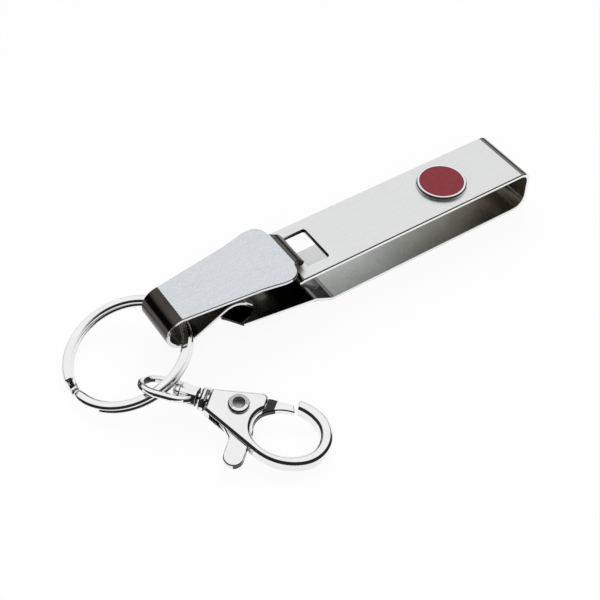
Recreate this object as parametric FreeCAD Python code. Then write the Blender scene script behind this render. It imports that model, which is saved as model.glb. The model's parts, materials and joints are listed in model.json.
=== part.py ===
import FreeCAD
import Part
import math
import os

# A belt clip with a key hanger, a split ring and a swivel snap hook.
# Millimetres and degrees. The rear plate lies on the plane z = 0, centred on the origin,
# the closed end of the clip points to +X and the keys hang towards -X.

Vec = FreeCAD.Vector
X_AXIS = Vec(1, 0, 0)
Y_AXIS = Vec(0, 1, 0)
Z_AXIS = Vec(0, 0, 1)
ORIGIN = Vec(0, 0, 0)

# Shared values
overrun = 1.0
seat_gap = 0.3
edge_match = 0.01
length_match_share = 0.02

# Belt clip: strip
sheet = 1.0
strip_width = 18.0
clip_height = 12.35
rear_flat = 58.0
bottom_bend_radius = 4.5
top_bend_radius = 3.3
front_flat = 68.0
lip_bend_radius = 1.3
lip_turn_angle = 140.0
lip_length = 7.2
lip_corner_radius = 2.6
jog_angle = 28.0
jog_bend_radius = 3.0
jog_length = 4.2
tail_angle = 9.5
tail_length = 24.0
tail_corner_length = 3.5
tail_corner_width = 4.5

# Belt clip: window
end_bar = 3.1
throat_length = 1.55
throat_width = 8.4
throat_corner_radius = 0.25
window_length = 5.85
window_width = 11.1
window_corner_radius = 0.6

# Badge
badge_radius = 6.6
badge_height = 1.0
badge_rim = 0.9
badge_edge_chamfer = 0.35
badge_from_bend = 19.7
enamel_depth = 0.45
enamel_drop = 0.1

# Key hanger
hook_clearance = 0.15
tongue_drop = 0.6
tongue_rise = 3.6
tongue_bend_radius = 4.1
tongue_width = 10.8
tongue_root_radius = 1.8
neck_clearance = 0.2
neck_shoulder = 1.4
hanger_tilt_angle = 1.66
plate_length = 30.5
shoulder_half_width = 10.0
shoulder_length = 4.6
shoulder_radius = 3.2
waist_half_width = 8.7
waist_station = 10.5
loop_half_width = 6.2
loop_radius = 4.75
leg_rise_angle = 25.0
leg_length = 10.0
hump_radius = 5.0
hump_turn_angle = 75.0
leg_corner_radius = 2.0
pivot_drop = 0.1

# Split ring
ring_outer_radius = 16.0
ring_wire_width = 2.3
ring_wire_height = 1.0
ring_turn_gap = 0.42
ring_wire_chamfer = 0.22
ring_seat_out = 1.9
ring_seat_drop = 1.15
ring_lean_angle = 170.0
ring_floor_gap = 0.05
ring_lower_start_angle = 215.0
ring_crank_start_angle = 171.0
ring_crank_angle = 24.0
ring_crank_section_count = 9
ring_point_step_angle = 3.0

# Snap hook: pose on the ring
eye_station_angle = -83.0
hook_heading_angle = -48.0
hook_roll_angle = -5.0
eye_roll_angle = -32.0
hook_floor_gap = 0.3
eye_wire_slack = 1.1

# Snap hook: swivel eye
eye_wire_half = 0.85
eye_wire_chamfer = 0.5
eye_half_width = 4.4
eye_arm = 3.6
eye_base_length = 4.4
eye_base_width = 4.6
eye_base_height = 3.8
eye_base_chamfer = 0.7
eye_base_inset = 1.0
swivel_gap = 0.6
swivel_radius = 1.1
swivel_clearance = 0.06
swivel_head_radius = 1.6
swivel_head_length = 1.6
swivel_head_gap = 0.1
swivel_bite = 2.4

# Snap hook: body
body_back = 7.0
body_thickness = 3.8
body_edge_chamfer = 0.4
body_back_low = 3.5
body_back_high = 2.4
body_shoulder = 6.0
body_shoulder_high = 4.95
body_shoulder_radius = 1.5
collar_length = 1.5
collar_groove = 0.4
collar_half_width = 2.9
collar_half_height = 2.2
collar_corner = 1.3
collar_chamfer = 0.35
collar_neck_inset = 0.5
opening_centre_out = 11.8
opening_centre_low = 3.25
opening_half_length = 8.0
opening_half_width = 6.25
opening_end_share = 0.848
bow_shift_out = 0.5
bow_shift_high = 0.25
bow_end_wall = 2.1
bow_side_wall = 2.25
bow_end_share = 0.94
mouth_out = 12.85
mouth_slant = 0.35
slot_back = 5.7
slot_front = 6.2
slot_top_wall = 0.6
slot_clearance = 0.1

# Snap hook: trigger
lever_thickness = 1.8
lever_hub_radius = 2.75
lever_bore_clearance = 0.05
lever_lobe_back = 3.4
lever_lobe_low = 4.2
tab_half_width = 2.35
tab_centre_out = 2.6
tab_tip_low = 14.8
tab_root_low = 8.2
tab_root_radius = 1.6
gate_high = 4.15
gate_low = 2.0
gate_root_out = 6.6
gate_tip_gap = 0.2
gate_end_slant = 0.9
gate_round = 0.3
lever_inset = 0.8
lever_front_low = 5.0

# Snap hook: rivet and spring
rivet_radius = 1.7
rivet_flange_radius = 2.55
rivet_flange_height = 0.75
rivet_flange_chamfer = 0.35
rivet_recess_radius = 1.4
rivet_recess_depth = 1.7
rivet_clearance = 0.02
spring_wire_radius = 0.15
spring_wire_side_count = 8
spring_turn_count = 1.25
spring_pitch = 0.75
spring_points_per_turn = 72
spring_rivet_gap = 0.1
spring_pocket_gap = 0.12
spring_end_gap = 0.05


def sind(angle):
    return math.sin(math.radians(angle))


def cosd(angle):
    return math.cos(math.radians(angle))


def heading_vector(angle):
    # Unit vector in the side view (XZ), at this angle above +X
    return Vec(cosd(angle), 0, sind(angle))


def side_normal(angle):
    # Unit vector at a right angle to that heading, to its left in the side view
    return Vec(-sind(angle), 0, cosd(angle))


def bent_strip(start, heading, steps, thickness):
    # Side face of a sheet that follows straight runs and bends along its middle.
    # A step is ("run", length) or ("bend", middle radius, turn), a turn to the left being positive.
    # Returns the face, and the end point and heading of the last step.
    left_edges = []
    right_edges = []
    half = thickness / 2
    point = start
    first_left = point + side_normal(heading) * half
    first_right = point - side_normal(heading) * half
    left = first_left
    right = first_right
    for step in steps:
        if step[0] == "run":
            point = point + heading_vector(heading) * step[1]
            new_left = point + side_normal(heading) * half
            new_right = point - side_normal(heading) * half
            left_edges.append(Part.makeLine(left, new_left))
            right_edges.append(Part.makeLine(right, new_right))
        else:
            radius = step[1]
            turn = step[2]
            way = math.copysign(1, turn)
            centre = point + side_normal(heading) * (radius * way)
            middle = heading + turn / 2
            heading = heading + turn
            out_middle = side_normal(middle) * -way
            out_end = side_normal(heading) * -way
            point = centre + out_end * radius
            left_radius = radius - half * way
            right_radius = radius + half * way
            new_left = centre + out_end * left_radius
            new_right = centre + out_end * right_radius
            left_edges.append(Part.Arc(left, centre + out_middle * left_radius, new_left).toShape())
            right_edges.append(Part.Arc(right, centre + out_middle * right_radius, new_right).toShape())
        left = new_left
        right = new_right
    closing = [Part.makeLine(left, right), Part.makeLine(first_right, first_left)]
    wire = Part.Wire(Part.__sortEdges__(left_edges + closing + right_edges))
    return Part.Face(wire), point, heading


def across(face, half_width):
    # A side face given its width across the part, half to each side of the centre line
    solid = face.extrude(Y_AXIS * (2 * half_width))
    solid.translate(Y_AXIS * -half_width)
    return solid


def rounded_outline(corners):
    # Closed wire in the XY plane through (x, y, corner radius) points
    edges = []
    count = len(corners)
    joins = []
    for index in range(count):
        before = corners[index - 1]
        here = corners[index]
        after = corners[(index + 1) % count]
        point = Vec(here[0], here[1], 0)
        to_before = (Vec(before[0], before[1], 0) - point).normalize()
        to_after = (Vec(after[0], after[1], 0) - point).normalize()
        radius = here[2]
        if radius == 0:
            joins.append((point, point))
            continue
        half_angle = to_before.getAngle(to_after) / 2
        reach = radius / math.tan(half_angle)
        bisector = (to_before + to_after).normalize()
        centre = point + bisector * (radius / math.sin(half_angle))
        first = point + to_before * reach
        last = point + to_after * reach
        edges.append(Part.Arc(first, centre - bisector * radius, last).toShape())
        joins.append((first, last))
    for index in range(count):
        start = joins[index][1]
        end = joins[(index + 1) % count][0]
        edges.append(Part.makeLine(start, end))
    return Part.Wire(Part.__sortEdges__(edges))


def plan_prism(corners, low, high):
    # Upright prism of a rounded outline between two heights
    face = Part.Face(rounded_outline(corners))
    face.translate(Z_AXIS * low)
    return face.extrude(Z_AXIS * (high - low))


def broken_section(half_width, half_height, chamfer):
    # Section of a wire in the XZ plane, a rectangle with its corners broken
    right = (half_width, half_height - chamfer, 0)
    top = (half_width - chamfer, half_height, 0)
    upper = [right, top, (-top[0], top[1], 0), (-right[0], right[1], 0)]
    section = rounded_outline(mirrored(upper))
    section.rotate(ORIGIN, X_AXIS, 90.0)
    return section


def oval_side_radius(half_length, half_width, end_radius):
    # Radius of an oval's two long arcs, tangent to its two end arcs
    end_place = half_length - end_radius
    return (end_place**2 + half_width**2 - end_radius**2) / (2 * (half_width - end_radius))


def oval_wire(oval, growth, height):
    # Oval of four tangent arcs, longer along X, set out by the same growth all round
    centre_x, centre_y, half_length, half_width, end_radius = oval
    end_place = half_length - end_radius
    side_place = oval_side_radius(half_length, half_width, end_radius) - half_width
    reach = math.hypot(end_place, side_place)
    half_length = half_length + growth
    half_width = half_width + growth
    end_radius = end_radius + growth
    join_x = end_place + end_radius * end_place / reach
    join_y = end_radius * side_place / reach
    right_low = Vec(join_x, -join_y, 0)
    right_high = Vec(join_x, join_y, 0)
    left_high = Vec(-join_x, join_y, 0)
    left_low = Vec(-join_x, -join_y, 0)
    wire = Part.Wire([
        Part.Arc(right_low, X_AXIS * half_length, right_high).toShape(),
        Part.Arc(right_high, Y_AXIS * half_width, left_high).toShape(),
        Part.Arc(left_high, X_AXIS * -half_length, left_low).toShape(),
        Part.Arc(left_low, Y_AXIS * -half_width, right_low).toShape(),
    ])
    wire.translate(Vec(centre_x, centre_y, height))
    return wire


def oval_solid(oval, layers):
    # Solid through one oval at (height, growth) layers, with straight walls between them
    wires = [oval_wire(oval, growth, height) for height, growth in layers]
    return Part.makeLoft(wires, True, True)


def least_turn_gap(points, points_per_turn, thickness):
    # Least gap of a wound wire to itself, on points of its middle line at least half a turn apart
    distances = []
    for first in range(len(points)):
        for second in range(first + points_per_turn // 2, len(points)):
            distances.append(points[first].distanceToPoint(points[second]))
    return min(distances) - thickness


def mirrored(corners):
    # The listed corners on the +Y side, followed by their mirror images in reverse order
    return corners + [(x, -y, radius) for x, y, radius in reversed(corners)]


def short_edges_near(shape, point, reach, length):
    # Straight edges of about this length whose middle lies within reach of the point
    found = []
    for edge in shape.Edges:
        middle = edge.valueAt((edge.FirstParameter + edge.LastParameter) / 2)
        alike = abs(edge.Length - length) < length * length_match_share
        if alike and middle.distanceToPoint(point) < reach:
            found.append(edge)
    return found


# Places along the clip that other pieces are set from
half_sheet = sheet / 2
half_strip = strip_width / 2
rear_left = -rear_flat / 2
rear_right = rear_flat / 2
wall_outside = rear_right + bottom_bend_radius
front_right = wall_outside - top_bend_radius
front_left = front_right - front_flat
nose = front_left - lip_bend_radius
front_top = clip_height
front_under = front_top - sheet
throat_left = nose + end_bar
window_left = throat_left + throat_length
window_right = window_left + window_length


def tail_run():
    # Steps from the rear plate's left end along the jog and the raised tail
    return [
        ("bend", jog_bend_radius, -jog_angle),
        ("run", jog_length),
        ("bend", jog_bend_radius, jog_angle - tail_angle),
        ("run", tail_length),
    ]


def tail_middle_line():
    # Last point of the tail's middle line and its heading
    start = Vec(rear_left, 0, half_sheet)
    return bent_strip(start, 180.0, tail_run(), sheet)[1:]


tail_tip, tail_heading = tail_middle_line()


def tail_top_at(x):
    # Height of the tail's upper face at this place along the clip
    slope = math.tan(math.radians(180.0 - tail_heading))
    return tail_tip.z - (x - tail_tip.x) * slope + half_sheet / cosd(180.0 - tail_heading)


def make_belt_clip():
    wall = clip_height - bottom_bend_radius - top_bend_radius
    middle = Vec(0, 0, half_sheet)
    tail_face = bent_strip(middle, 180.0, [("run", rear_flat / 2)] + tail_run(), sheet)[0]
    loop_steps = [
        ("run", rear_flat / 2),
        ("bend", bottom_bend_radius - half_sheet, 90.0),
        ("run", wall),
        ("bend", top_bend_radius - half_sheet, 90.0),
        ("run", front_flat),
        ("bend", lip_bend_radius - half_sheet, lip_turn_angle),
        ("run", lip_length),
    ]
    front_face, lip_end = bent_strip(middle, 0.0, loop_steps, sheet)[:2]
    tail = across(tail_face, half_strip)
    corner = [
        (tail_tip.x - overrun, half_strip - tail_corner_width, 0),
        (tail_tip.x, half_strip - tail_corner_width, 0),
        (tail_tip.x + tail_corner_length, half_strip, 0),
        (tail_tip.x + tail_corner_length, half_strip + overrun, 0),
        (tail_tip.x - overrun, half_strip + overrun, 0),
    ]
    tail = tail.cut(plan_prism(corner, 0, clip_height))
    tail = tail.cut(plan_prism([(x, -y, radius) for x, y, radius in corner], 0, clip_height))
    front = across(front_face, half_strip)
    lip_corners = []
    for side in (-half_strip, half_strip):
        lip_corners += short_edges_near(front, lip_end + Y_AXIS * side, half_sheet, sheet)
    front = front.makeFillet(lip_corner_radius, lip_corners)
    window = mirrored([
        (throat_left, throat_width / 2, throat_corner_radius),
        (window_left, throat_width / 2, 0),
        (window_left, window_width / 2, 0),
        (window_right, window_width / 2, window_corner_radius),
    ])
    front = front.cut(plan_prism(window, front_under - half_sheet, front_top + overrun))
    return front.fuse(tail).removeSplitter()


# Key hanger: the tongue stands in the throat, and the hanger turns on the end bar's lower edge
pivot = Vec(throat_left + hook_clearance, 0, front_under - pivot_drop)
tongue_middle = throat_left + hook_clearance + half_sheet
tongue_foot = Vec(tongue_middle, 0, front_under - tongue_drop)
plate_top = front_top + tongue_rise
plate_start = tongue_middle + half_sheet - tongue_bend_radius


def turned_about_pivot(point):
    # The place of an upright hanger's point once the hanger leans by its rest tilt
    turn = FreeCAD.Rotation(Y_AXIS, -hanger_tilt_angle)
    return pivot + turn.multVec(point - pivot)


loop_top = Vec(plate_start - plate_length, 0, plate_top - half_sheet)
loop_centre = turned_about_pivot(loop_top - Z_AXIS * (loop_radius - half_sheet))


def leg_flare():
    # Length of the leg's last run, which ends its seat gap above the tail
    start = turned_about_pivot(loop_top)
    steps = leg_steps()[:-1]
    point, heading = bent_strip(start, 180.0 + hanger_tilt_angle, steps, sheet)[1:]
    corner = point - side_normal(heading) * half_sheet
    drop = corner.z - tail_top_at(corner.x) - seat_gap
    fall = -sind(heading) - cosd(heading) * math.tan(math.radians(180.0 - tail_heading))
    return drop / fall


def leg_steps(flare=0.0):
    return [
        ("bend", loop_radius - half_sheet, 180.0 + leg_rise_angle),
        ("run", leg_length),
        ("bend", hump_radius, -hump_turn_angle),
        ("run", flare),
    ]


def make_key_hanger():
    rise = plate_top - tongue_bend_radius - tongue_foot.z
    top_steps = [
        ("run", rise),
        ("bend", tongue_bend_radius - half_sheet, 90.0),
        ("run", plate_length),
    ]
    top_face = bent_strip(tongue_foot, 90.0, top_steps, sheet)[0]
    top = across(top_face, shoulder_half_width + overrun)
    outline = mirrored([
        (loop_top.x, loop_half_width, 0),
        (plate_start - waist_station, waist_half_width, waist_half_width),
        (plate_start - shoulder_length, shoulder_half_width, shoulder_radius),
        (plate_start, shoulder_half_width, shoulder_radius),
        (plate_start, tongue_width / 2, tongue_root_radius),
        (tongue_middle + half_sheet, tongue_width / 2, 0),
    ])
    top = top.common(plan_prism(outline, tongue_foot.z, plate_top))
    neck_half = throat_width / 2 - neck_clearance
    for side in (-1, 1):
        cut = Part.makeBox(
            tongue_bend_radius,
            half_strip,
            front_top + neck_shoulder - tongue_foot.z + overrun,
            Vec(tongue_middle - tongue_bend_radius + sheet, 0, tongue_foot.z - overrun),
        )
        cut.translate(Y_AXIS * (neck_half if side > 0 else -neck_half - half_strip))
        top = top.cut(cut)
    top.rotate(pivot, Y_AXIS, -hanger_tilt_angle)
    start = turned_about_pivot(loop_top)
    leg_heading = 180.0 + hanger_tilt_angle
    leg_face, leg_end = bent_strip(start, leg_heading, leg_steps(leg_flare()), sheet)[:2]
    leg = across(leg_face, loop_half_width)
    leg_corners = []
    for side in (-loop_half_width, loop_half_width):
        leg_corners += short_edges_near(leg, leg_end + Y_AXIS * side, half_sheet, sheet)
    leg = leg.makeFillet(leg_corner_radius, leg_corners)
    return top.fuse(leg).removeSplitter()


def make_badge_plate():
    plate = Part.makeCylinder(badge_radius, badge_height)
    upper = [edge for edge in plate.Edges if edge.BoundBox.ZMin > badge_height / 2]
    plate = plate.makeChamfer(badge_edge_chamfer, upper)
    recess = Part.makeCylinder(badge_radius - badge_rim, enamel_depth + overrun)
    recess.translate(Z_AXIS * (badge_height - enamel_depth))
    plate = plate.cut(recess)
    plate.translate(badge_place)
    return plate


def make_badge_enamel():
    enamel = Part.makeCylinder(badge_radius - badge_rim, enamel_depth - enamel_drop)
    enamel.translate(badge_place + Z_AXIS * (badge_height - enamel_depth))
    return enamel


badge_place = Vec(front_right - badge_from_bend, 0, front_top)

# Split ring: its wire lies on the loop's floor, and its far side rests on the table
ring_middle_radius = ring_outer_radius - ring_wire_width / 2
ring_pitch = ring_wire_height + ring_turn_gap
ring_half_height = (ring_pitch + ring_wire_height) / 2
ring_wire_place = loop_centre + X_AXIS * ring_seat_out - Z_AXIS * ring_seat_drop


def ring_frame():
    # Lean that brings the ring's lowest edge to the table, then its centre and rotation
    along = cosd(180.0 - ring_lean_angle)
    lift = ring_outer_radius + ring_middle_radius * along
    height = ring_wire_place.z - ring_floor_gap
    lean = math.degrees(
        math.asin(height / math.hypot(lift, ring_half_height)) - math.atan2(ring_half_height, lift)
    )
    lean_axis = Vec(-sind(ring_lean_angle), cosd(ring_lean_angle), 0)
    rotation = FreeCAD.Rotation(lean_axis, lean)
    toward_loop = rotation.multVec(X_AXIS)
    centre = ring_wire_place - toward_loop * ring_middle_radius
    return centre, rotation


ring_centre, ring_rotation = ring_frame()


def ring_section(angle, height):
    # Section of the ring's wire, in the plane through the ring's axis at this angle
    section = broken_section(ring_wire_width / 2, ring_wire_height / 2, ring_wire_chamfer)
    section.translate(Vec(ring_middle_radius, 0, height))
    section.rotate(ORIGIN, Z_AXIS, angle)
    return section


# The wire winds from its lower end to the crank, and after it one more turn less the crank
crank_first = 360.0 + ring_crank_start_angle
crank_last = crank_first + ring_crank_angle
winding_last = crank_first + 360.0


def wire_height(winding):
    # Height of the wire's middle line at this angle of its winding
    share = min(max((winding - crank_first) / ring_crank_angle, 0), 1)
    ease = (1 - math.cos(math.pi * share)) / 2
    return ring_pitch * ease - ring_pitch / 2


def flat_turn(first, last):
    # A stretch of the wire that stays at one height
    face = Part.Face(ring_section(first, wire_height(first)))
    return face.revolve(ORIGIN, Z_AXIS, last - first)


def wire_point(winding):
    flat = Vec(cosd(winding), sind(winding), 0) * ring_middle_radius
    return flat + Z_AXIS * wire_height(winding)


def make_key_ring():
    sections = []
    for index in range(ring_crank_section_count):
        winding = crank_first + ring_crank_angle * index / (ring_crank_section_count - 1)
        sections.append(ring_section(winding, wire_height(winding)))
    crank = Part.makeLoft(sections, True, True)
    lower = flat_turn(ring_lower_start_angle, crank_first)
    upper = flat_turn(crank_last, winding_last)
    ring = lower.fuse([crank, upper]).removeSplitter()
    ring.Placement = FreeCAD.Placement(ring_centre, ring_rotation)
    step_count = round((winding_last - ring_lower_start_angle) / ring_point_step_angle)
    windings = [ring_lower_start_angle + ring_point_step_angle * index for index in range(step_count)]
    points = [wire_point(winding) for winding in windings]
    points_per_turn = round(360.0 / ring_point_step_angle)
    gap = least_turn_gap(points, points_per_turn, ring_wire_height)
    print("key_ring: least gap between turns", round(gap, 3))
    return ring


# Snap hook: built round its shank, which is the local X axis, with the lever's rivet at the origin
half_body = body_thickness / 2
opening_oval = (
    opening_centre_out,
    -opening_centre_low,
    opening_half_length,
    opening_half_width,
    opening_half_width * opening_end_share,
)
bow_centre_out = opening_centre_out + bow_shift_out
bow_centre_low = opening_centre_low - bow_shift_high
bow_half_length = opening_half_length + bow_end_wall
bow_half_width = opening_half_width + bow_side_wall
bow_oval = (
    bow_centre_out,
    -bow_centre_low,
    bow_half_length,
    bow_half_width,
    bow_half_width * bow_end_share,
)
collar_back = body_back + collar_groove + collar_length
base_front = -(collar_back + swivel_gap)
base_back = base_front - eye_base_length
eye_wire_out = base_back - swivel_head_gap - swivel_head_length - ring_wire_width / 2 - eye_wire_slack


def hook_frames():
    # Placements of the hook's body and of its eye, with the eye round the ring's wire
    outward = Vec(cosd(eye_station_angle), sind(eye_station_angle), 0)
    wire = ring_centre + ring_rotation.multVec(outward) * ring_middle_radius
    reach = bow_centre_out + bow_half_length - eye_wire_out
    rest = half_body + hook_floor_gap + bow_centre_low * sind(-hook_roll_angle)
    slope = math.degrees(math.asin((wire.z - rest) / reach))
    tilt = FreeCAD.Rotation(Z_AXIS, hook_heading_angle).multiply(FreeCAD.Rotation(Y_AXIS, slope))
    shank = tilt.multVec(X_AXIS)
    rivet = wire - shank * eye_wire_out
    body = FreeCAD.Placement(rivet, tilt.multiply(FreeCAD.Rotation(X_AXIS, -hook_roll_angle)))
    eye = FreeCAD.Placement(rivet, tilt.multiply(FreeCAD.Rotation(X_AXIS, eye_roll_angle)))
    return body, eye, wire


hook_place, eye_place, eye_wire_point = hook_frames()


def make_swivel_eye():
    front_centre = base_front - eye_base_inset - eye_half_width
    back_centre = front_centre - eye_arm
    section = Part.Face(broken_section(eye_wire_half, eye_wire_half, eye_wire_chamfer))
    pieces = []
    for side in (-1, 1):
        arm = section.copy()
        arm.rotate(ORIGIN, Z_AXIS, 90.0)
        arm.translate(Vec(back_centre, side * eye_half_width, 0))
        pieces.append(arm.extrude(X_AXIS * eye_arm))
    for centre, start in ((back_centre, 90.0), (front_centre, -90.0)):
        bend = section.copy()
        bend.translate(X_AXIS * eye_half_width)
        bend = bend.revolve(ORIGIN, Z_AXIS, 180.0)
        bend.rotate(ORIGIN, Z_AXIS, start)
        bend.translate(X_AXIS * centre)
        pieces.append(bend)
    base = Part.makeBox(
        eye_base_length,
        eye_base_width,
        eye_base_height,
        Vec(base_back, -eye_base_width / 2, -eye_base_height / 2),
    )
    long_edges = [edge for edge in base.Edges if abs(edge.Length - eye_base_length) < edge_match]
    base = base.makeChamfer(eye_base_chamfer, long_edges)
    eye = base.fuse(pieces).removeSplitter()
    bore = Part.makeCylinder(
        swivel_radius + swivel_clearance,
        eye_base_length + 2 * overrun,
        Vec(base_back - overrun, 0, 0),
        X_AXIS,
    )
    eye = eye.cut(bore)
    eye.Placement = eye_place
    return eye


def make_swivel_rivet():
    head_face = base_back - swivel_head_gap
    shank_end = -collar_back + swivel_bite
    shank = Part.makeCylinder(swivel_radius, shank_end - head_face, Vec(head_face, 0, 0), X_AXIS)
    dome_radius = (swivel_head_radius**2 + swivel_head_length**2) / (2 * swivel_head_length)
    dome = Part.makeSphere(dome_radius, Vec(head_face - swivel_head_length + dome_radius, 0, 0))
    keep = Part.makeCylinder(dome_radius, swivel_head_length + overrun, Vec(head_face, 0, 0), -X_AXIS)
    rivet = shank.fuse(dome.common(keep)).removeSplitter()
    rivet.Placement = hook_place
    return rivet


def bow_tangent():
    # Where a line from the body's lower back corner touches the bow, on its side arc or its end arc
    centre_x, centre_y, half_length, half_width, end_radius = bow_oval
    side_radius = oval_side_radius(half_length, half_width, end_radius)
    end_x = centre_x - half_length + end_radius
    side_y = centre_y - half_width + side_radius
    touch_x, touch_y = circle_tangent(centre_x, side_y, side_radius)
    past_side_arc = (touch_x - centre_x) * (side_y - centre_y) < (end_x - centre_x) * (side_y - touch_y)
    if past_side_arc:
        touch_x, touch_y = circle_tangent(end_x, centre_y, end_radius)
    return touch_x, touch_y


def circle_tangent(centre_x, centre_y, radius):
    # Lower point where a line from the body's lower back corner touches a circle
    dx = -body_back - centre_x
    dy = -body_back_low - centre_y
    angle = math.atan2(dy, dx) + math.acos(radius / math.hypot(dx, dy))
    return centre_x + radius * math.cos(angle), centre_y + radius * math.sin(angle)


def make_cheeks():
    # The wedge from the collar to the bow, with its outer rims broken
    touch_x, touch_y = bow_tangent()
    outline = [
        (-body_back, -body_back_low, 0),
        (touch_x, touch_y, 0),
        (bow_centre_out, -opening_centre_low, 0),
        (body_shoulder, -opening_centre_low, 0),
        (body_shoulder, body_shoulder_high, body_shoulder_radius),
        (-body_back, body_back_high, 0),
    ]
    cheeks = plan_prism(outline, -half_body, half_body)
    rims = []
    for edge in cheeks.Edges:
        if edge.BoundBox.ZLength < edge_match and edge.BoundBox.XMax < bow_centre_out - edge_match:
            rims.append(edge)
    return cheeks.makeChamfer(body_edge_chamfer, rims)


def make_hook_body():
    straight = half_body - body_edge_chamfer
    bow = oval_solid(bow_oval, [
        (-half_body, -body_edge_chamfer),
        (-straight, 0),
        (straight, 0),
        (half_body, -body_edge_chamfer),
    ])
    opening = oval_solid(opening_oval, [
        (-half_body - overrun, body_edge_chamfer + overrun),
        (-straight, 0),
        (straight, 0),
        (half_body + overrun, body_edge_chamfer + overrun),
    ])
    mouth = plan_prism(
        [
            (body_shoulder, -opening_centre_low, 0),
            (mouth_out + mouth_slant, -opening_centre_low, 0),
            (mouth_out + mouth_slant, 0, 0),
            (mouth_out - mouth_slant, bow_half_width, 0),
            (-body_back, bow_half_width, 0),
            (-body_back, -opening_centre_low, 0),
        ],
        -half_body - overrun,
        half_body + overrun,
    )
    body = bow.cut(mouth).fuse(make_cheeks()).cut(opening).removeSplitter()
    collar = Part.makeBox(
        collar_length,
        2 * collar_half_width,
        2 * collar_half_height,
        Vec(-collar_back, -collar_half_width, -collar_half_height),
    )
    corners = [edge for edge in collar.Edges if abs(edge.Length - collar_length) < edge_match]
    collar = collar.makeChamfer(collar_corner, corners)
    rims = [edge for edge in collar.Edges if edge.BoundBox.XLength < edge_match]
    collar = collar.makeChamfer(collar_chamfer, rims)
    neck = Part.makeCylinder(
        half_body - collar_neck_inset,
        collar_length + collar_groove,
        Vec(-collar_back + collar_length / 2, 0, 0),
        X_AXIS,
    )
    body = body.fuse([collar, neck]).removeSplitter()
    half_slot = lever_thickness / 2 + slot_clearance
    slot = plan_prism(
        [
            (-slot_back, -bow_half_width - bow_centre_low, 0),
            (slot_front, -bow_half_width - bow_centre_low, 0),
            (slot_front, body_shoulder_high, 0),
            (body_shoulder, body_shoulder_high - slot_top_wall, 0),
            (-slot_back, slot_back_top(), lever_hub_radius),
        ],
        -half_slot,
        half_slot,
    )
    body = body.cut(slot)
    body = body.cut(Part.makeCylinder(
        rivet_radius + rivet_clearance, body_thickness + 2 * overrun, Z_AXIS * (-half_body - overrun)
    ))
    body = body.cut(Part.makeCylinder(
        swivel_radius + rivet_clearance, swivel_bite + overrun, X_AXIS * (-collar_back - overrun), X_AXIS
    ))
    body.Placement = hook_place
    return body


def slot_back_top():
    # Height of the slot's roof at its back end, its wall below the body's sloping upper edge
    slope = (body_shoulder_high - body_back_high) / (body_shoulder + body_back)
    return body_back_high + slope * (body_back - slot_back) - slot_top_wall


def make_trigger_lever():
    half_lever = lever_thickness / 2
    tip_centre = tab_tip_low - tab_half_width
    gate_end = mouth_out - gate_tip_gap
    outline = [
        (gate_end, gate_low, gate_round),
        (gate_end - gate_end_slant, gate_high, gate_round),
        (gate_root_out, gate_high, gate_round),
        (0, lever_hub_radius, 0),
        (-lever_lobe_back, 0, lever_hub_radius),
        (-lever_lobe_back, -lever_lobe_low, tab_root_radius),
        (tab_centre_out - tab_half_width, -tab_root_low, tab_root_radius),
        (tab_centre_out - tab_half_width, -tip_centre - tab_half_width, tab_half_width),
        (tab_centre_out + tab_half_width, -tip_centre - tab_half_width, tab_half_width),
        (tab_centre_out + tab_half_width, -lever_front_low, 0),
        (opening_centre_out, -opening_centre_low, 0),
    ]
    lever = plan_prism(outline, -half_lever, half_lever)
    lever = lever.cut(oval_solid(opening_oval, [
        (-half_lever - overrun, -lever_inset),
        (half_lever + overrun, -lever_inset),
    ]))
    lever = lever.cut(Part.makeCylinder(
        rivet_radius + lever_bore_clearance, lever_thickness + 2 * overrun, Z_AXIS * (-half_lever - overrun)
    ))
    pocket_radius = spring_mean_radius + spring_wire_radius + spring_pocket_gap
    lever = lever.cut(Part.makeCylinder(
        pocket_radius, spring_pocket_depth + overrun, Z_AXIS * (-half_lever - overrun)
    ))
    lever.Placement = hook_place
    return lever


spring_mean_radius = rivet_radius + spring_rivet_gap + spring_wire_radius
spring_height = spring_turn_count * spring_pitch + 2 * spring_wire_radius
spring_pocket_depth = spring_height + 2 * spring_end_gap


def make_trigger_rivet():
    flange_top = half_body + rivet_flange_height
    rivet = Part.makeCylinder(rivet_radius, body_thickness, Z_AXIS * -half_body)
    for side in (-1, 1):
        flange = Part.makeCylinder(
            rivet_flange_radius, rivet_flange_height, Z_AXIS * (side * half_body), Z_AXIS * side
        )
        rims = [edge for edge in flange.Edges if abs(edge.CenterOfMass.z - side * flange_top) < edge_match]
        rivet = rivet.fuse(flange.makeChamfer(rivet_flange_chamfer, rims))
    recess = Part.makeCylinder(
        rivet_recess_radius, rivet_recess_depth + overrun, Z_AXIS * (flange_top - rivet_recess_depth)
    )
    rivet = rivet.cut(recess).removeSplitter()
    rivet.Placement = hook_place
    return rivet


def make_trigger_spring():
    base = -lever_thickness / 2 + spring_end_gap + spring_wire_radius
    length = spring_turn_count * spring_pitch
    helix = Part.makeHelix(spring_pitch, length, spring_mean_radius)
    corners = []
    for index in range(spring_wire_side_count + 1):
        angle = 360.0 * index / spring_wire_side_count
        across_wire = Vec(cosd(angle), 0, sind(angle)) * spring_wire_radius
        corners.append(X_AXIS * spring_mean_radius + across_wire)
    coil = Part.Wire(helix.Edges).makePipeShell([Part.makePolygon(corners)], True, True)
    coil.translate(Z_AXIS * base)
    coil.Placement = hook_place.multiply(coil.Placement)
    points = []
    for index in range(round(spring_turn_count * spring_points_per_turn) + 1):
        turn = index / spring_points_per_turn
        flat = Vec(cosd(360.0 * turn), sind(360.0 * turn), 0) * spring_mean_radius
        points.append(flat + Z_AXIS * (spring_pitch * turn))
    gap = least_turn_gap(points, spring_points_per_turn, 2 * spring_wire_radius)
    print("trigger_spring: least gap between turns", round(gap, 3))
    return coil


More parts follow.
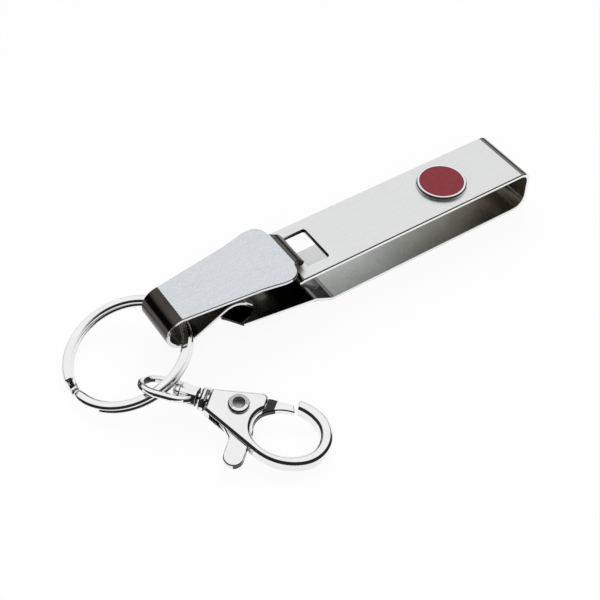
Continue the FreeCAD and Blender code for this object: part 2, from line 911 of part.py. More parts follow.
makers = {
    "belt_clip": make_belt_clip,
    "badge_plate": make_badge_plate,
    "badge_enamel": make_badge_enamel,
    "key_hanger": make_key_hanger,
    "key_ring": make_key_ring,
    "swivel_eye": make_swivel_eye,
    "swivel_rivet": make_swivel_rivet,
    "hook_body": make_hook_body,
    "trigger_lever": make_trigger_lever,
    "trigger_rivet": make_trigger_rivet,
    "trigger_spring": make_trigger_spring,
}

os.makedirs("parts", exist_ok=True)
for name, maker in makers.items():
    shape = maker()
    solids = shape.Solids
    print(name, "solids", len(solids), "valid", shape.isValid(), "volume", round(shape.Volume, 2))
    shape.exportStep("parts/" + name + ".step")

print("pivot", [round(value, 3) for value in pivot])
print("ring wire", [round(value, 3) for value in ring_wire_place])
print("eye wire", [round(value, 3) for value in eye_wire_point])
print("rivet", [round(value, 3) for value in hook_place.Base])
for label, axis in (("shank", X_AXIS), ("hook face", Z_AXIS)):
    print(label, [round(value, 5) for value in hook_place.Rotation.multVec(axis)])
ring_tangent = ring_rotation.multVec(Vec(-sind(eye_station_angle), cosd(eye_station_angle), 0))
print("ring tangent at the eye", [round(value, 5) for value in ring_tangent])
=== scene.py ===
import json
import math

import bmesh
import bpy
from mathutils import Matrix, Vector


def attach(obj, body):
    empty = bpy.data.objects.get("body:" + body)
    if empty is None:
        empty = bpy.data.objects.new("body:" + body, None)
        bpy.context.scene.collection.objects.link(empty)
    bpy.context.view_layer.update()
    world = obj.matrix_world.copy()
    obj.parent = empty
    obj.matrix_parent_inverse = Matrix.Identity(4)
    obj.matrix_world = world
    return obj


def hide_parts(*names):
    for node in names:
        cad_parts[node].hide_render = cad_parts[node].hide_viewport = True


# A belt key clip: satin sheet steel, a polished split ring and a nickel-plated snap hook.
# The frame and the stage are in metres. Places and widths on the pieces are in millimetres.

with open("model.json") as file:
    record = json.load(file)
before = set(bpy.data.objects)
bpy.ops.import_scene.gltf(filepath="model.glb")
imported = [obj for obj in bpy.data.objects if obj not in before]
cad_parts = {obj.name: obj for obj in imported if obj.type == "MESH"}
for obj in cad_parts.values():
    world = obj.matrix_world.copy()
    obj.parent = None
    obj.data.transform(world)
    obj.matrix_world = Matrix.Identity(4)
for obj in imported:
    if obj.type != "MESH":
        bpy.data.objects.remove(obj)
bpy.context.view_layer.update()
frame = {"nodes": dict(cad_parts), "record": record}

MM = 0.001


# Node helpers

def link(tree, source, target):
    tree.links.new(source, target)


def feed(tree, socket, value):
    # A number or a colour is set on the socket, and an output is linked to it
    if isinstance(value, (int, float)):
        socket.default_value = value
    elif isinstance(value, tuple):
        socket.default_value = (*value, 1.0)
    else:
        link(tree, value, socket)


def add_node(tree, kind, **settings):
    node = tree.nodes.new(kind)
    for key, value in settings.items():
        setattr(node, key, value)
    return node


def math_node(tree, operation, first, second):
    node = add_node(tree, "ShaderNodeMath", operation=operation)
    feed(tree, node.inputs[0], first)
    feed(tree, node.inputs[1], second)
    return node.outputs[0]


# Places of a Mix node's two inputs and of its output, by its kind of data
MIX_SOCKETS = {"FLOAT": (2, 3, 0), "RGBA": (6, 7, 2)}


def mix(tree, data_type, factor, first, second):
    node = add_node(tree, "ShaderNodeMix", data_type=data_type)
    first_place, second_place, output_place = MIX_SOCKETS[data_type]
    for place, value in ((0, factor), (first_place, first), (second_place, second)):
        feed(tree, node.inputs[place], value)
    return node.outputs[output_place]


def mix_colour(tree, factor, first, second):
    return mix(tree, "RGBA", factor, first, second)


def mix_value(tree, factor, first, second):
    return mix(tree, "FLOAT", factor, first, second)


def spread(tree, value, low, high, start=0.0, end=1.0):
    # A value between start and end moved to the range from low to high
    node = add_node(tree, "ShaderNodeMapRange")
    link(tree, value, node.inputs["Value"])
    node.inputs["From Min"].default_value = start
    node.inputs["From Max"].default_value = end
    node.inputs["To Min"].default_value = low
    node.inputs["To Max"].default_value = high
    return node.outputs[0]


def new_group(name, inputs, outputs):
    group = bpy.data.node_groups.new(name, "ShaderNodeTree")
    for label, default in inputs:
        socket = group.interface.new_socket(label, in_out="INPUT", socket_type="NodeSocketFloat")
        socket.default_value = default
    for label in outputs:
        group.interface.new_socket(label, in_out="OUTPUT", socket_type="NodeSocketFloat")
    enter = group.nodes.new("NodeGroupInput")
    leave = group.nodes.new("NodeGroupOutput")
    return group, enter, leave


EVEN = (1.0, 1.0, 1.0)
BRUSH_STRETCH = (0.06, 1.0, 1.0)
SCUFF_STRETCH = (0.15, 1.0, 1.0)
SCUFF_RANGE = (-0.9, 1.1)
GRAIN_MIDDLE = (0.25, 0.75)


def noise(tree, coordinates, scale, detail, stretch=EVEN):
    mapping = add_node(tree, "ShaderNodeMapping")
    mapping.inputs["Scale"].default_value = stretch
    link(tree, coordinates, mapping.inputs["Vector"])
    texture = add_node(tree, "ShaderNodeTexNoise")
    texture.inputs["Detail"].default_value = detail
    link(tree, mapping.outputs[0], texture.inputs["Vector"])
    feed(tree, texture.inputs["Scale"], scale)
    return texture.outputs["Fac"]


def make_satin_grain():
    # Short brush marks along the strip over a fine even grain
    group, enter, leave = new_group(
        "satin_grain", [("Grain Scale", 2600.0), ("Brush Share", 0.35)], ["Shade", "Height"]
    )
    place = add_node(group, "ShaderNodeTexCoord").outputs["Object"]
    grain = noise(group, place, enter.outputs["Grain Scale"], 2.0)
    brush = noise(group, place, enter.outputs["Grain Scale"], 3.0, BRUSH_STRETCH)
    shade = mix_value(group, enter.outputs["Brush Share"], grain, brush)
    link(group, spread(group, shade, 0.0, 1.0, *GRAIN_MIDDLE), leave.inputs["Shade"])
    link(group, brush, leave.inputs["Height"])
    return group


def make_handling():
    # Broad faint smears where the piece is held, and a few fine scuffs
    group, enter, leave = new_group(
        "handling", [("Smear Scale", 140.0), ("Scuff Scale", 900.0)], ["Smear", "Scuff"]
    )
    place = add_node(group, "ShaderNodeTexCoord").outputs["Object"]
    smear = noise(group, place, enter.outputs["Smear Scale"], 3.0)
    scuff = noise(group, place, enter.outputs["Scuff Scale"], 4.0, SCUFF_STRETCH)
    link(group, smear, leave.inputs["Smear"])
    link(group, spread(group, scuff, *SCUFF_RANGE), leave.inputs["Scuff"])
    return group


SATIN_GRAIN = make_satin_grain()
HANDLING = make_handling()


# Materials

# Where painted shade begins to darken the inside of the clip towards its closed end, and where it is
# darkest
DEEP_START = -14.0
DEEP_END = 27.0

# Shares of its own colour that a finish varies between, from one smear to the next
INSIDE_SHARES = (0.85, 1.15)
DEEP_SHARES = (0.5, 1.5)
BEND_SHARES = (0.5, 1.6)
SHEARED_AND_SHADED_SHARES = (0.5, 1.5)
PLATING_SHARES = (0.93, 1.05)

# Roughness of sheet steel, of enamel and of plating in a hollow
POLISHED = (0.1, 0.2)
DULL = (0.2, 0.34)
MATT = (0.34, 0.46)
ENAMEL_ROUGHNESS = (0.2, 0.34)
HOLLOW_ROUGHNESS = 0.4

# Strength and depth of the bump
GRAIN_BUMP = (0.06, 0.02)
SCUFF_BUMP = (0.02, 0.01)

ENAMEL_DARK = (0.22, 0.016, 0.026)
ENAMEL_LIGHT = (0.29, 0.026, 0.04)


def start_material(name):
    material = bpy.data.materials.new(name)
    material.use_nodes = True
    tree = material.node_tree
    shader = tree.nodes["Principled BSDF"]
    return material, tree, shader


def place_group(tree, group, **values):
    node = add_node(tree, "ShaderNodeGroup", node_tree=group)
    for label, value in values.items():
        node.inputs[label.replace("_", " ")].default_value = value
    return node


def attribute(tree, name):
    return add_node(tree, "ShaderNodeAttribute", attribute_name=name).outputs["Fac"]


def around(tree, factor, colour, low, high):
    # A colour that varies between two shares of itself
    return mix_colour(tree, factor, tuple(low * c for c in colour), tuple(high * c for c in colour))


def add_bump(tree, shader, height, strength, depth):
    bump = add_node(tree, "ShaderNodeBump")
    bump.inputs["Strength"].default_value = strength
    bump.inputs["Distance"].default_value = depth * MM
    link(tree, height, bump.inputs["Height"])
    link(tree, bump.outputs[0], shader.inputs["Normal"])


def sheet_steel(name, satin, bend, inside, deep, cut, sheared_and_shaded, grain_scale, grain_depth):
    # Satin on the outer faces, polished in the bends, which carry a painted dark reflection, duller
    # inside, where painted shade darkens the hanger and browns the clip towards its closed end,
    # bright where the sheet was cut, and dark where it sheared, with painted shadow on that edge, in
    # the window and on the lip
    material, tree, shader = start_material(name)
    grain = place_group(tree, SATIN_GRAIN, Grain_Scale=grain_scale)
    smear = place_group(tree, HANDLING).outputs["Smear"]
    satin_tone = around(tree, grain.outputs["Shade"], satin, 1.0 - grain_depth, 1.0 + grain_depth)
    split = add_node(tree, "ShaderNodeSeparateXYZ")
    link(tree, add_node(tree, "ShaderNodeTexCoord").outputs["Object"], split.inputs[0])
    # Painted shade deepens the inside tone towards the clip's closed end
    depth = spread(tree, split.outputs["X"], 0.0, 1.0, DEEP_START * MM, DEEP_END * MM)
    shallow_tone = around(tree, smear, inside, *INSIDE_SHARES)
    painted_deep_shade = around(tree, smear, deep, *DEEP_SHARES)
    inside_tone = mix_colour(tree, depth, shallow_tone, painted_deep_shade)
    # The bend tone is a painted dark reflection, for bends and for outer faces that are neither
    # satin nor cut
    painted_bend_dark = around(tree, smear, bend, *BEND_SHARES)
    sheared_and_shaded_tone = around(tree, smear, sheared_and_shaded, *SHEARED_AND_SHADED_SHARES)
    tone = mix_colour(tree, attribute(tree, "inside"), painted_bend_dark, inside_tone)
    tone = mix_colour(tree, attribute(tree, "cut"), tone, cut)
    tone = mix_colour(tree, attribute(tree, "satin"), tone, satin_tone)
    tone = mix_colour(tree, attribute(tree, "sheared_and_shaded"), tone, sheared_and_shaded_tone)
    link(tree, tone, shader.inputs["Base Color"])
    shader.inputs["Metallic"].default_value = 1.0
    polish = spread(tree, smear, *POLISHED)
    dull = mix_value(tree, attribute(tree, "inside"), polish, spread(tree, smear, *DULL))
    matt = spread(tree, grain.outputs["Shade"], *MATT)
    rough = mix_value(tree, attribute(tree, "satin"), dull, matt)
    link(tree, rough, shader.inputs["Roughness"])
    add_bump(tree, shader, grain.outputs["Height"], *GRAIN_BUMP)
    return material


def bright_plating(name, colour, rough_low, rough_high, hollow=None):
    # Polished nickel with faint smears and hairline scuffs, with painted shade and a rougher finish
    # where a hollow or gap is marked
    material, tree, shader = start_material(name)
    marks = place_group(tree, HANDLING)
    tone = around(tree, marks.outputs["Smear"], colour, *PLATING_SHARES)
    rough = spread(tree, marks.outputs["Smear"], rough_low, rough_high)
    if hollow:
        tone = mix_colour(tree, attribute(tree, "hollow"), tone, hollow)
        rough = mix_value(tree, attribute(tree, "hollow"), rough, HOLLOW_ROUGHNESS)
    link(tree, tone, shader.inputs["Base Color"])
    shader.inputs["Metallic"].default_value = 1.0
    link(tree, rough, shader.inputs["Roughness"])
    add_bump(tree, shader, marks.outputs["Scuff"], *SCUFF_BUMP)
    return material


def red_enamel(name):
    material, tree, shader = start_material(name)
    smear = place_group(tree, HANDLING, Smear_Scale=700.0).outputs["Smear"]
    tone = mix_colour(tree, smear, ENAMEL_DARK, ENAMEL_LIGHT)
    link(tree, tone, shader.inputs["Base Color"])
    link(tree, spread(tree, smear, *ENAMEL_ROUGHNESS), shader.inputs["Roughness"])
    shader.inputs["Specular IOR Level"].default_value = 0.2
    shader.inputs["Coat Weight"].default_value = 0.06
    shader.inputs["Coat Roughness"].default_value = 0.08
    return material


CLIP_STEEL = sheet_steel(
    "clip_steel",
    satin=(0.8, 0.805, 0.805),
    # Bend tone: a painted dark reflection on the polished bends
    bend=(0.17, 0.17, 0.15),
    inside=(0.64, 0.66, 0.645),
    # Deep tone: painted shade deep in the slot towards the closed end
    deep=(0.3, 0.28, 0.24),
    cut=(0.88, 0.88, 0.88),
    # Sheared tone: the dark sheared zone on lower cut edges, and painted shadow there, in the window
    # and on the lip
    sheared_and_shaded=(0.04, 0.04, 0.038),
    grain_scale=3000.0,
    grain_depth=0.1,
)
HANGER_STEEL = sheet_steel(
    "hanger_steel",
    satin=(0.71, 0.735, 0.765),
    # Bend tone: a painted dark reflection on the loop's bend and on outer faces that are not satin
    bend=(0.06, 0.055, 0.048),
    # Inside and deep tones: painted shade on the hanger's underside and inside its loop
    inside=(0.2, 0.19, 0.17),
    deep=(0.2, 0.19, 0.17),
    cut=(0.75, 0.75, 0.75),
    sheared_and_shaded=(0.03, 0.03, 0.03),
    grain_scale=2200.0,
    grain_depth=0.16,
)
RING_NICKEL = bright_plating("ring_nickel", (0.86, 0.86, 0.87), 0.05, 0.1)
HOOK_NICKEL = bright_plating(
    # The last colour is painted shade for the swivel's gaps and the lever's web and notch
    "hook_nickel", (0.86, 0.86, 0.86), 0.06, 0.12, hollow=(0.05, 0.048, 0.045)
)
# The hub's last colour is painted shade in the rivet's open end
HUB_NICKEL = bright_plating("hub_nickel", (0.84, 0.84, 0.84), 0.06, 0.12, hollow=(0.5, 0.5, 0.49))
BADGE_CHROME = bright_plating("badge_chrome", (0.8, 0.81, 0.82), 0.05, 0.1)
SPRING_WIRE = bright_plating("spring_wire", (0.4, 0.4, 0.4), 0.25, 0.35)
BADGE_RED = red_enamel("badge_red")


# Pieces: each CAD node is merged, its sharp edges are broken and its faces sorted by finish

MERGE_DISTANCE = 0.002
FLAT_ANGLE = math.radians(0.4)
SQUARE_EDGE = math.radians(60)
BROKEN_EDGE = math.radians(30)
CREASE_ANGLE = math.radians(50)

# How far the faces of a chamfer round a flat face turn towards it, as a share of their normal
CHAMFER_LEAST = 0.5
CHAMFER_MOST = 0.85


def middle_of(face):
    return face.calc_center_median() / MM


def merged_copy(node):
    shape = bmesh.new()
    shape.from_mesh(frame["nodes"][node].data)
    bmesh.ops.remove_doubles(shape, verts=shape.verts, dist=MERGE_DISTANCE * MM)
    bmesh.ops.dissolve_limit(
        shape, angle_limit=FLAT_ANGLE, use_dissolve_boundaries=False,
        verts=shape.verts, edges=shape.edges,
    )
    return shape


def convex_edges(shape, least_angle):
    found = []
    for edge in shape.edges:
        if len(edge.link_faces) == 2 and edge.is_convex and edge.calc_face_angle() > least_angle:
            found.append(edge)
    return found


def bevel(shape, edges, width, segments):
    made = bmesh.ops.bevel(
        shape, geom=edges, offset=width * MM, segments=segments, profile=0.5, affect="EDGES",
        material=-1, clamp_overlap=False,
    )
    return made["faces"]


def slope_rims(shape, axis, slopes, is_flat):
    # Slopes round a flat face: each time its rim is moved in, and the chamfer outside it down
    for inwards, down in slopes:
        flat = [face for face in shape.faces if is_flat(face)]
        rims = bmesh.ops.inset_region(
            shape, faces=flat, thickness=inwards * MM, use_even_offset=True
        )["faces"]
        kept = {vert for face in flat for vert in face.verts}
        moved = {vert for face in rims for vert in face.verts} - kept
        for vert in list(moved):
            for face in vert.link_faces:
                if CHAMFER_LEAST < face.normal.dot(axis) < CHAMFER_MOST:
                    moved.update(face.verts)
        bmesh.ops.translate(shape, verts=list(moved - kept), vec=axis * (-down * MM))
        shape.normal_update()


def break_edges(shape, chamfer, rounding, chosen=None):
    # A flat on every square edge, then a small round along every broken edge
    for least_angle, width, segments in ((SQUARE_EDGE, chamfer, 1), (BROKEN_EDGE, rounding, 2)):
        edges = convex_edges(shape, least_angle)
        if chosen:
            edges = [edge for edge in edges if chosen(edge)]
        bevel(shape, edges, width, segments)


def finished_piece(name, shape, material, body, node, finish_of=None):
    mesh = bpy.data.meshes.new(name)
    finishes = {}
    if finish_of:
        for face in shape.faces:
            for label, value in finish_of(middle_of(face), face.normal).items():
                finishes.setdefault(label, []).append(value)
    shape.to_mesh(mesh)
    for label, values in finishes.items():
        mesh.attributes.new(label, "FLOAT", "FACE").data.foreach_set("value", values)
    mesh.polygons.foreach_set("use_smooth", [True] * len(mesh.polygons))
    mesh.set_sharp_from_angle(angle=CREASE_ANGLE)
    mesh.materials.append(material)
    shape.free()
    piece = bpy.data.objects.new(name, mesh)
    bpy.context.scene.collection.objects.link(piece)
    weights = piece.modifiers.new("weighted_normals", "WEIGHTED_NORMAL")
    weights.keep_sharp = True
    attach(piece, body)
    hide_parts(node)


# Sheet pieces

# Places where one finish gives way to another
CLIP_MIDDLE_HEIGHT = 6.2
FRONT_START = 11.0
TAIL_UNDERSIDE = 6.0
REAR_END = 28.9
TAIL_START = -28.5
LIP_END = -31.0
LIP_TOP = 11.2
WINDOW_START = -37.0
WINDOW_END = -28.0
WINDOW_HALF_WIDTH = 6.0
HANGER_TOP = 13.0
TONGUE_START = -42.0
LOOP_MIDDLE = Vector((-69.0, 0.0, 10.6))

# The hanger's shoulder, where the tongue's first bends and two rounds of its outline start
SHOULDER_START = -39.2
SHOULDER_END = -38.6
CUSP_START = -39.11
CUSP_END = -39.04
CUSP_NEAR = 6.75
CUSP_FAR = 7.25

# Shares of a face's normal that tell which way it looks
ACROSS = 0.5
SQUARELY_ACROSS = 0.99
FRONT_FACING = 0.5
REAR_FACING = 0.3
HANGER_FACING = 0.6
TONGUE_FACING = 0.3
DOWN_FACING = -0.7
UPRIGHT = 0.3
LEVEL = 0.9
SAME_WAY = 0.99
CLIP_SATIN_LEAN = 0.05
HANGER_SATIN_LEAN = 0.04
HANGER_LEAN = -0.029
TONGUE_FRONT = 0.1

# How much of a finish shows; for the tail and the tongue the rest is the bend tone's painted shade,
# and the lip gets the sheared tone as painted shade
TAIL_INSIDE = 0.2
TONGUE_INSIDE = 0.3
LIP_SHADE = 0.7

# Widths of the edge breaks
SHEAR_HEIGHT = 0.36
SHEAR_LEAN = 0.04
CLIP_INNER_BREAK = 0.08
CLIP_OUTER_BREAK = 0.26
HANGER_INNER_BREAK = 0.2
HANGER_OUTER_BREAK = 0.17
SHEET_ROUND = 0.03


def way(share, least):
    # 1 or -1 for a share of a normal that passes the least one, else 0
    return 1 if share > least else -1 if share < -least else 0


def clip_side(centre, normal):
    # Which way a face of the strip looks: 1 out of the slot, -1 into it, 0 for a cut edge
    if abs(normal.y) > ACROSS:
        return 0
    if centre.x > REAR_END:
        towards = Vector((centre.x - REAR_END, 0.0, centre.z - CLIP_MIDDLE_HEIGHT))
        return 1 if normal.dot(towards) > 0.0 else -1
    if centre.z > FRONT_START:
        return way(normal.z, FRONT_FACING)
    return -way(normal.z, REAR_FACING)


def hanger_side(centre, normal):
    # Which way a face of the hanger looks: 1 out of the loop, -1 into it, 0 for a cut edge
    if abs(normal.y) > ACROSS:
        return 0
    if centre.x < LOOP_MIDDLE.x:
        return 1 if normal.dot(centre - LOOP_MIDDLE) > 0.0 else -1
    if centre.x > TONGUE_START:
        return 1 if normal.x > TONGUE_FACING or normal.z > HANGER_FACING else -1
    if centre.z > HANGER_TOP:
        return way(normal.z, HANGER_FACING)
    return -1 if normal.z > 0.0 else 1


def on_lip(centre):
    return centre.x < LIP_END and TAIL_UNDERSIDE < centre.z < LIP_TOP


def clip_finish(centre, normal):
    side = clip_side(centre, normal)
    lip = on_lip(centre)
    satin = side == 1 and abs(normal.x) < CLIP_SATIN_LEAN and not lip
    cut = side == 0 and not lip
    # The tail's inner faces, under the hanger, take mostly the bend tone's painted dark as painted
    # shade
    tail = centre.x < TAIL_START and centre.z < LIP_TOP
    inside = 0.0 if lip or side > -1 else TAIL_INSIDE if tail else 1.0
    return {"satin": float(satin), "cut": float(cut), "inside": inside}


def hanger_finish(centre, normal):
    side = hanger_side(centre, normal)
    level = normal.z > LEVEL and abs(normal.x - HANGER_LEAN) < HANGER_SATIN_LEAN
    satin = level and centre.z > HANGER_TOP
    # The tongue's cut faces are not bright but keep the bend tone, as painted shade at the neck
    cut = side == 0 and centre.x < TONGUE_START
    tongue = side == 1 and centre.x > TONGUE_START and normal.x > TONGUE_FRONT
    inside = 1.0 if side == -1 else TONGUE_INSIDE if tongue else 0.0
    return {"satin": float(satin), "cut": float(cut), "inside": inside}


def edges_between(shape, side_of, first, second):
    # Square edges where a face that looks one way meets one that looks another way
    found = []
    for edge in convex_edges(shape, SQUARE_EDGE):
        sides = [side_of(middle_of(face), face.normal) for face in edge.link_faces]
        if sorted(sides) == sorted((first, second)):
            found.append(edge)
    return found


def looks_down(edge):
    lowest = min(face.normal.z for face in edge.link_faces)
    return lowest < DOWN_FACING and edge.verts[0].co.z < TAIL_UNDERSIDE * MM


def shear_lower_edges(shape, side_of, sheared_and_shaded, height, lean):
    # The lower part of a cut edge, leaning in a little and marked dark: partly the sheared zone,
    # partly painted shadow under the edge
    lower = [edge for edge in edges_between(shape, side_of, 0, 1) if looks_down(edge)]
    shifts = {}
    for face in bevel(shape, lower, height, 1):
        face[sheared_and_shaded] = 1.0
        for edge in face.edges:
            for cut in edge.link_faces:
                if cut is not face and abs(cut.normal.z) < UPRIGHT:
                    for vert in set(face.verts) - set(cut.verts):
                        ways = shifts.setdefault(vert, [])
                        if all(known.dot(cut.normal) < SAME_WAY for known in ways):
                            ways.append(cut.normal.copy())
    for vert, ways in shifts.items():
        for outwards in ways:
            vert.co += outwards * ((height - lean) * MM)
    shape.normal_update()


def in_window(face):
    centre = middle_of(face)
    across = abs(centre.y) < WINDOW_HALF_WIDTH and WINDOW_START < centre.x < WINDOW_END
    return across and centre.z > LIP_TOP and abs(face.normal.z) < UPRIGHT


def make_clip_strip():
    shape = merged_copy("belt_clip")
    sides = [face for face in shape.faces if abs(face.normal.y) > SQUARELY_ACROSS]
    edges = {edge for face in sides for edge in face.edges}
    bmesh.ops.bisect_plane(
        shape, geom=sides + list(edges), plane_co=(0.0, 0.0, LIP_TOP * MM), plane_no=(0.0, 0.0, 1.0)
    )
    sheared_and_shaded = shape.faces.layers.float.new("sheared_and_shaded")
    # The window's walls and the lip get the dark sheared tone as painted shade
    for face in shape.faces:
        if in_window(face):
            face[sheared_and_shaded] = 1.0
        elif on_lip(middle_of(face)):
            face[sheared_and_shaded] = 1.0 if abs(face.normal.y) > ACROSS else LIP_SHADE
    shear_lower_edges(shape, clip_side, sheared_and_shaded, SHEAR_HEIGHT, SHEAR_LEAN)
    bevel(shape, edges_between(shape, clip_side, 0, -1), CLIP_INNER_BREAK, 1)
    break_edges(shape, CLIP_OUTER_BREAK, SHEET_ROUND)
    finished_piece(
        "clip_strip", shape, CLIP_STEEL, "belt_clip", "belt_clip", clip_finish
    )


def join_first_bends(shape):
    # The first slight bends of the tongue join the flat, because they start in line with the
    # shoulder's edge, and the two rounds that meet there meet in one point
    folds = []
    for edge in shape.edges:
        near = all(SHOULDER_START * MM < vert.co.x < SHOULDER_END * MM for vert in edge.verts)
        if near and all(abs(face.normal.z) > LEVEL for face in edge.link_faces):
            folds.append(edge)
    bmesh.ops.dissolve_edges(shape, edges=folds, use_verts=True)
    cusp = []
    for vert in shape.verts:
        at_shoulder = CUSP_START * MM < vert.co.x < CUSP_END * MM
        if at_shoulder and CUSP_NEAR * MM < abs(vert.co.y) < CUSP_FAR * MM:
            cusp.append(vert)
    bmesh.ops.remove_doubles(shape, verts=cusp, dist=(CUSP_FAR - CUSP_NEAR) * MM)


def make_hanger_sheet():
    shape = merged_copy("key_hanger")
    join_first_bends(shape)
    bevel(shape, edges_between(shape, hanger_side, 0, -1), HANGER_INNER_BREAK, 1)
    break_edges(shape, HANGER_OUTER_BREAK, SHEET_ROUND)
    finished_piece(
        "hanger_sheet", shape, HANGER_STEEL, "key_hanger", "key_hanger",
        hanger_finish,
    )


# Plated pieces

def joint_of(name):
    joints = frame["record"]["behaviour"]["joints"]
    return [joint for joint in joints if joint["name"] == name][0]


# The hub that the lever turns on, the way its open end looks, and the way the hook points
HUB_PLACE = Vector(joint_of("trigger")["pos_m"]) / MM
HUB_AXIS = -Vector(joint_of("trigger")["axis"]).normalized()
SHANK = Vector(joint_of("hook_swivel")["axis"]).normalized()

# Distances from the hub's axis, then from the hub along the shank, then up from its middle
HUB_REACH = 2.6
HOLLOW_RADIUS = 1.43
GAP_END = -6.9
WEB_START = 3.0
WEB_END = 8.2
NOTCH_START = 5.5
NOTCH_END = 8.0
CHEEK_HEIGHT = 1.7

# Shares of a face's normal along the shank or the hub's axis
GAP_FACING = 0.6
WEB_FACING = 0.25
WEB_LEAN = 0.3
NOTCH_FACING = 0.3
CHEEK_FACING = 0.99
RING_FACING = 0.95

# Slopes round flat faces, as steps in and down
HOOK_SLOPES = ((0.14, 0.14), (0.25, 0.11))
RING_SLOPES = ((0.25, 0.2), (0.14, 0.06))


def from_hub(point):
    # How far a point is along the hub's axis, and away from it
    offset = point - HUB_PLACE
    along = offset.dot(HUB_AXIS)
    return along, (offset - HUB_AXIS * along).length


def along_shank(point):
    # How far a point is from the hub towards the hook's tip
    return (point - HUB_PLACE).dot(SHANK)


def hub_finish(centre, normal):
    # Painted shade and a duller finish in the rivet's open end
    along, away = from_hub(centre)
    return {"hollow": float(along > 0.0 and away < HOLLOW_RADIUS)}


def joint_finish(centre, normal):
    # Painted shade in the narrow gaps round the swivel
    behind = along_shank(centre) < GAP_END
    return {"hollow": float(behind and abs(normal.dot(SHANK)) > GAP_FACING)}


def lever_finish(centre, normal):
    # Painted shade on the web behind the opening and in the notch at the gate's root
    along = along_shank(centre)
    up = normal.dot(HUB_AXIS)
    web = WEB_START < along < WEB_END and normal.dot(SHANK) > WEB_FACING and abs(up) < WEB_LEAN
    notch = NOTCH_START < along < NOTCH_END and up > NOTCH_FACING
    return {"hollow": float(web or notch)}


def clear_of_hub(edge):
    middle = (edge.verts[0].co + edge.verts[1].co) / 2
    return from_hub(middle / MM)[1] > HUB_REACH


def on_cheek(face, axis):
    height = (middle_of(face) - HUB_PLACE).dot(axis)
    return face.normal.dot(axis) >= CHEEK_FACING and height > CHEEK_HEIGHT


def slope_hook(shape):
    for axis in (HUB_AXIS, -HUB_AXIS):
        slope_rims(shape, axis, HOOK_SLOPES, lambda face: on_cheek(face, axis))


def slope_ring(shape):
    # On the upper side only, because the wire is too thin for slopes on both
    axis = max(shape.faces, key=lambda face: face.normal.z * face.calc_area()).normal.copy()
    slope_rims(shape, axis, RING_SLOPES, lambda face: face.normal.dot(axis) >= RING_FACING)


def divide_lever(shape):
    # Faces end where the dark notch begins and ends
    for place in (NOTCH_START, NOTCH_END):
        bmesh.ops.bisect_plane(
            shape, geom=list(shape.faces) + list(shape.edges), plane_no=SHANK,
            plane_co=(HUB_PLACE + SHANK * place) * MM,
        )


def plated_piece(node, name, material, body, chamfer, rounding,
                 prepare=None, chosen=None, finish=None):
    shape = merged_copy(node)
    if prepare:
        prepare(shape)
    break_edges(shape, chamfer, rounding, chosen)
    finished_piece(name, shape, material, body, node, finish)


def make_plated_pieces():
    plated_piece("badge_plate", "badge_rim", BADGE_CHROME, "belt_clip", 0.12, 0.03)
    plated_piece("badge_enamel", "badge_field", BADGE_RED, "belt_clip", 0.06, 0.02)
    plated_piece(
        "key_ring", "ring_wire", RING_NICKEL, "key_ring", 0.12, 0.03,
        prepare=slope_ring,
    )
    plated_piece(
        "swivel_eye", "eye_loop", HOOK_NICKEL, "swivel_eye", 0.3, 0.05,
        finish=joint_finish,
    )
    plated_piece(
        "hook_body", "hook_casting", HOOK_NICKEL, "hook_body", 0.16, 0.05,
        prepare=slope_hook, finish=joint_finish,
    )
    plated_piece(
        "trigger_lever", "lever_plate", HOOK_NICKEL, "trigger_lever", 0.24, 0.03,
        prepare=divide_lever, chosen=clear_of_hub, finish=lever_finish,
    )
    plated_piece(
        "trigger_rivet", "hub_rivet", HUB_NICKEL, "hook_body", 0.12, 0.04,
        finish=hub_finish,
    )


def finish_plain_nodes():
    # Nodes whose solids are already as they should look keep their mesh and get their finish
    for node, material in (("swivel_rivet", HOOK_NICKEL), ("trigger_spring", SPRING_WIRE)):
        slots = frame["nodes"][node].data.materials
        slots.clear()
        slots.append(material)


make_clip_strip()
make_hanger_sheet()
make_plated_pieces()
finish_plain_nodes()


# Stage: floor, surround, lamps and camera, in metres and watts

FLOOR_REACH = 3.0
FLOOR_TONE = (0.98, 0.98, 0.98, 1.0)
FLOOR_GLOW = 0.92

WHITE = (1.0, 1.0, 1.0)
HORIZON_TONE = (0.02, 0.02, 0.018)
HORIZON_START = 0.2
HORIZON_END = 0.4
SCREEN_DIRECTION = (0.396, 0.472, 0.788)
SCREEN_RAMP = ((0.0, 0.02), (0.42, 0.03), (0.6, 0.7), (0.72, 1.0))

LAMP_TARGET = Vector((-0.02, 0.0, 0.0))
LAMP_SIZE = 0.6
LAMPS = (
    ("key_lamp", Vector((0.3, 0.4, 0.7)), 1.4),
    ("fill_lamp", Vector((-0.4, -0.5, 0.6)), 2.8),
)

CAMERA_PLACE = Vector((-0.14335, -0.1672, 0.21425))
CAMERA_RIGHT = Vector((0.8354, -0.5496, 0.0))
CAMERA_UP = Vector((0.4067, 0.6182, 0.6726))
LENS = 69.46
SENSOR_WIDTH = 36.0
CLIP_START = 0.005


def shown_rays(tree):
    # 1 for rays that show the floor: from the camera, and off or through a surface
    rays = add_node(tree, "ShaderNodeLightPath")
    first = math_node(tree, "MAXIMUM", rays.outputs["Is Camera Ray"], rays.outputs["Is Glossy Ray"])
    return math_node(tree, "MAXIMUM", first, rays.outputs["Is Transmission Ray"])


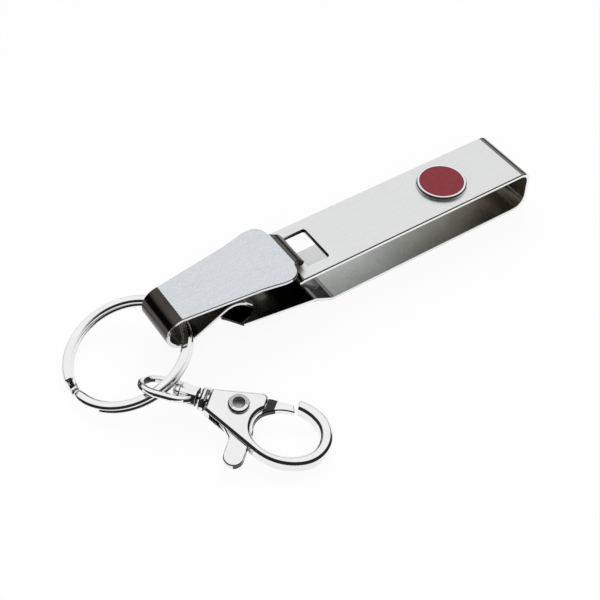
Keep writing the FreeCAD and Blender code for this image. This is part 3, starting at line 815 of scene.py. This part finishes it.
def make_floor():
    shape = bmesh.new()
    bmesh.ops.create_grid(shape, x_segments=1, y_segments=1, size=FLOOR_REACH)
    mesh = bpy.data.meshes.new("floor")
    shape.to_mesh(mesh)
    shape.free()
    floor = bpy.data.objects.new("floor", mesh)
    bpy.context.scene.collection.objects.link(floor)
    material = bpy.data.materials.new("floor_white")
    material.use_nodes = True
    tree = material.node_tree
    tree.nodes.clear()
    matt = add_node(tree, "ShaderNodeBsdfDiffuse")
    matt.inputs["Color"].default_value = FLOOR_TONE
    glow = add_node(tree, "ShaderNodeEmission")
    share = math_node(tree, "MULTIPLY", shown_rays(tree), FLOOR_GLOW)
    surface = add_node(tree, "ShaderNodeMixShader")
    link(tree, share, surface.inputs[0])
    link(tree, matt.outputs[0], surface.inputs[1])
    link(tree, glow.outputs[0], surface.inputs[2])
    out = add_node(tree, "ShaderNodeOutputMaterial")
    link(tree, surface.outputs[0], out.inputs["Surface"])
    mesh.materials.append(material)


def make_surround():
    # One broad white screen behind and above the object, in a dark room with a dark horizon
    world = bpy.data.worlds.new("studio")
    bpy.context.scene.world = world
    world.use_nodes = True
    tree = world.node_tree
    tree.nodes.clear()
    direction = add_node(tree, "ShaderNodeTexCoord").outputs["Generated"]
    towards_screen = add_node(tree, "ShaderNodeVectorMath", operation="DOT_PRODUCT")
    link(tree, direction, towards_screen.inputs[0])
    towards_screen.inputs[1].default_value = SCREEN_DIRECTION
    ramp = add_node(tree, "ShaderNodeValToRGB")
    link(tree, towards_screen.outputs["Value"], ramp.inputs["Fac"])
    stops = ramp.color_ramp.elements
    for stop, (position, tone) in zip((stops[0], stops[1]), (SCREEN_RAMP[0], SCREEN_RAMP[-1])):
        stop.position = position
        stop.color = (tone, tone, tone, 1.0)
    for position, tone in SCREEN_RAMP[1:-1]:
        stops.new(position).color = (tone, tone, tone, 1.0)
    split = add_node(tree, "ShaderNodeSeparateXYZ")
    link(tree, direction, split.inputs[0])
    above = spread(tree, split.outputs["Z"], 0.0, 1.0, HORIZON_START, HORIZON_END)
    screen = mix_colour(tree, above, HORIZON_TONE, ramp.outputs["Color"])
    rays = add_node(tree, "ShaderNodeLightPath")
    seen = mix_colour(tree, rays.outputs["Is Camera Ray"], screen, WHITE)
    glow = add_node(tree, "ShaderNodeBackground")
    link(tree, seen, glow.inputs["Color"])
    out = add_node(tree, "ShaderNodeOutputWorld")
    link(tree, glow.outputs[0], out.inputs["Surface"])


def make_lamp(name, place, power):
    lamp = bpy.data.lights.new(name, "AREA")
    lamp.shape = "DISK"
    lamp.size = LAMP_SIZE
    lamp.energy = power
    holder = bpy.data.objects.new(name, lamp)
    bpy.context.scene.collection.objects.link(holder)
    holder.location = place
    holder.rotation_euler = (LAMP_TARGET - place).to_track_quat("-Z", "Y").to_euler()
    holder.visible_glossy = False


def make_camera():
    data = bpy.data.cameras.new("camera")
    data.lens = LENS
    data.sensor_width = SENSOR_WIDTH
    data.clip_start = CLIP_START
    camera = bpy.data.objects.new("camera", data)
    bpy.context.scene.collection.objects.link(camera)
    back = CAMERA_RIGHT.cross(CAMERA_UP).normalized()
    turn = Matrix((CAMERA_RIGHT.normalized(), CAMERA_UP.normalized(), back)).transposed()
    camera.matrix_world = Matrix.Translation(CAMERA_PLACE) @ turn.to_4x4()
    bpy.context.scene.camera = camera


make_floor()
make_surround()
for lamp_name, lamp_place, lamp_power in LAMPS:
    make_lamp(lamp_name, lamp_place, lamp_power)
make_camera()
bpy.context.scene.view_settings.view_transform = "Standard"
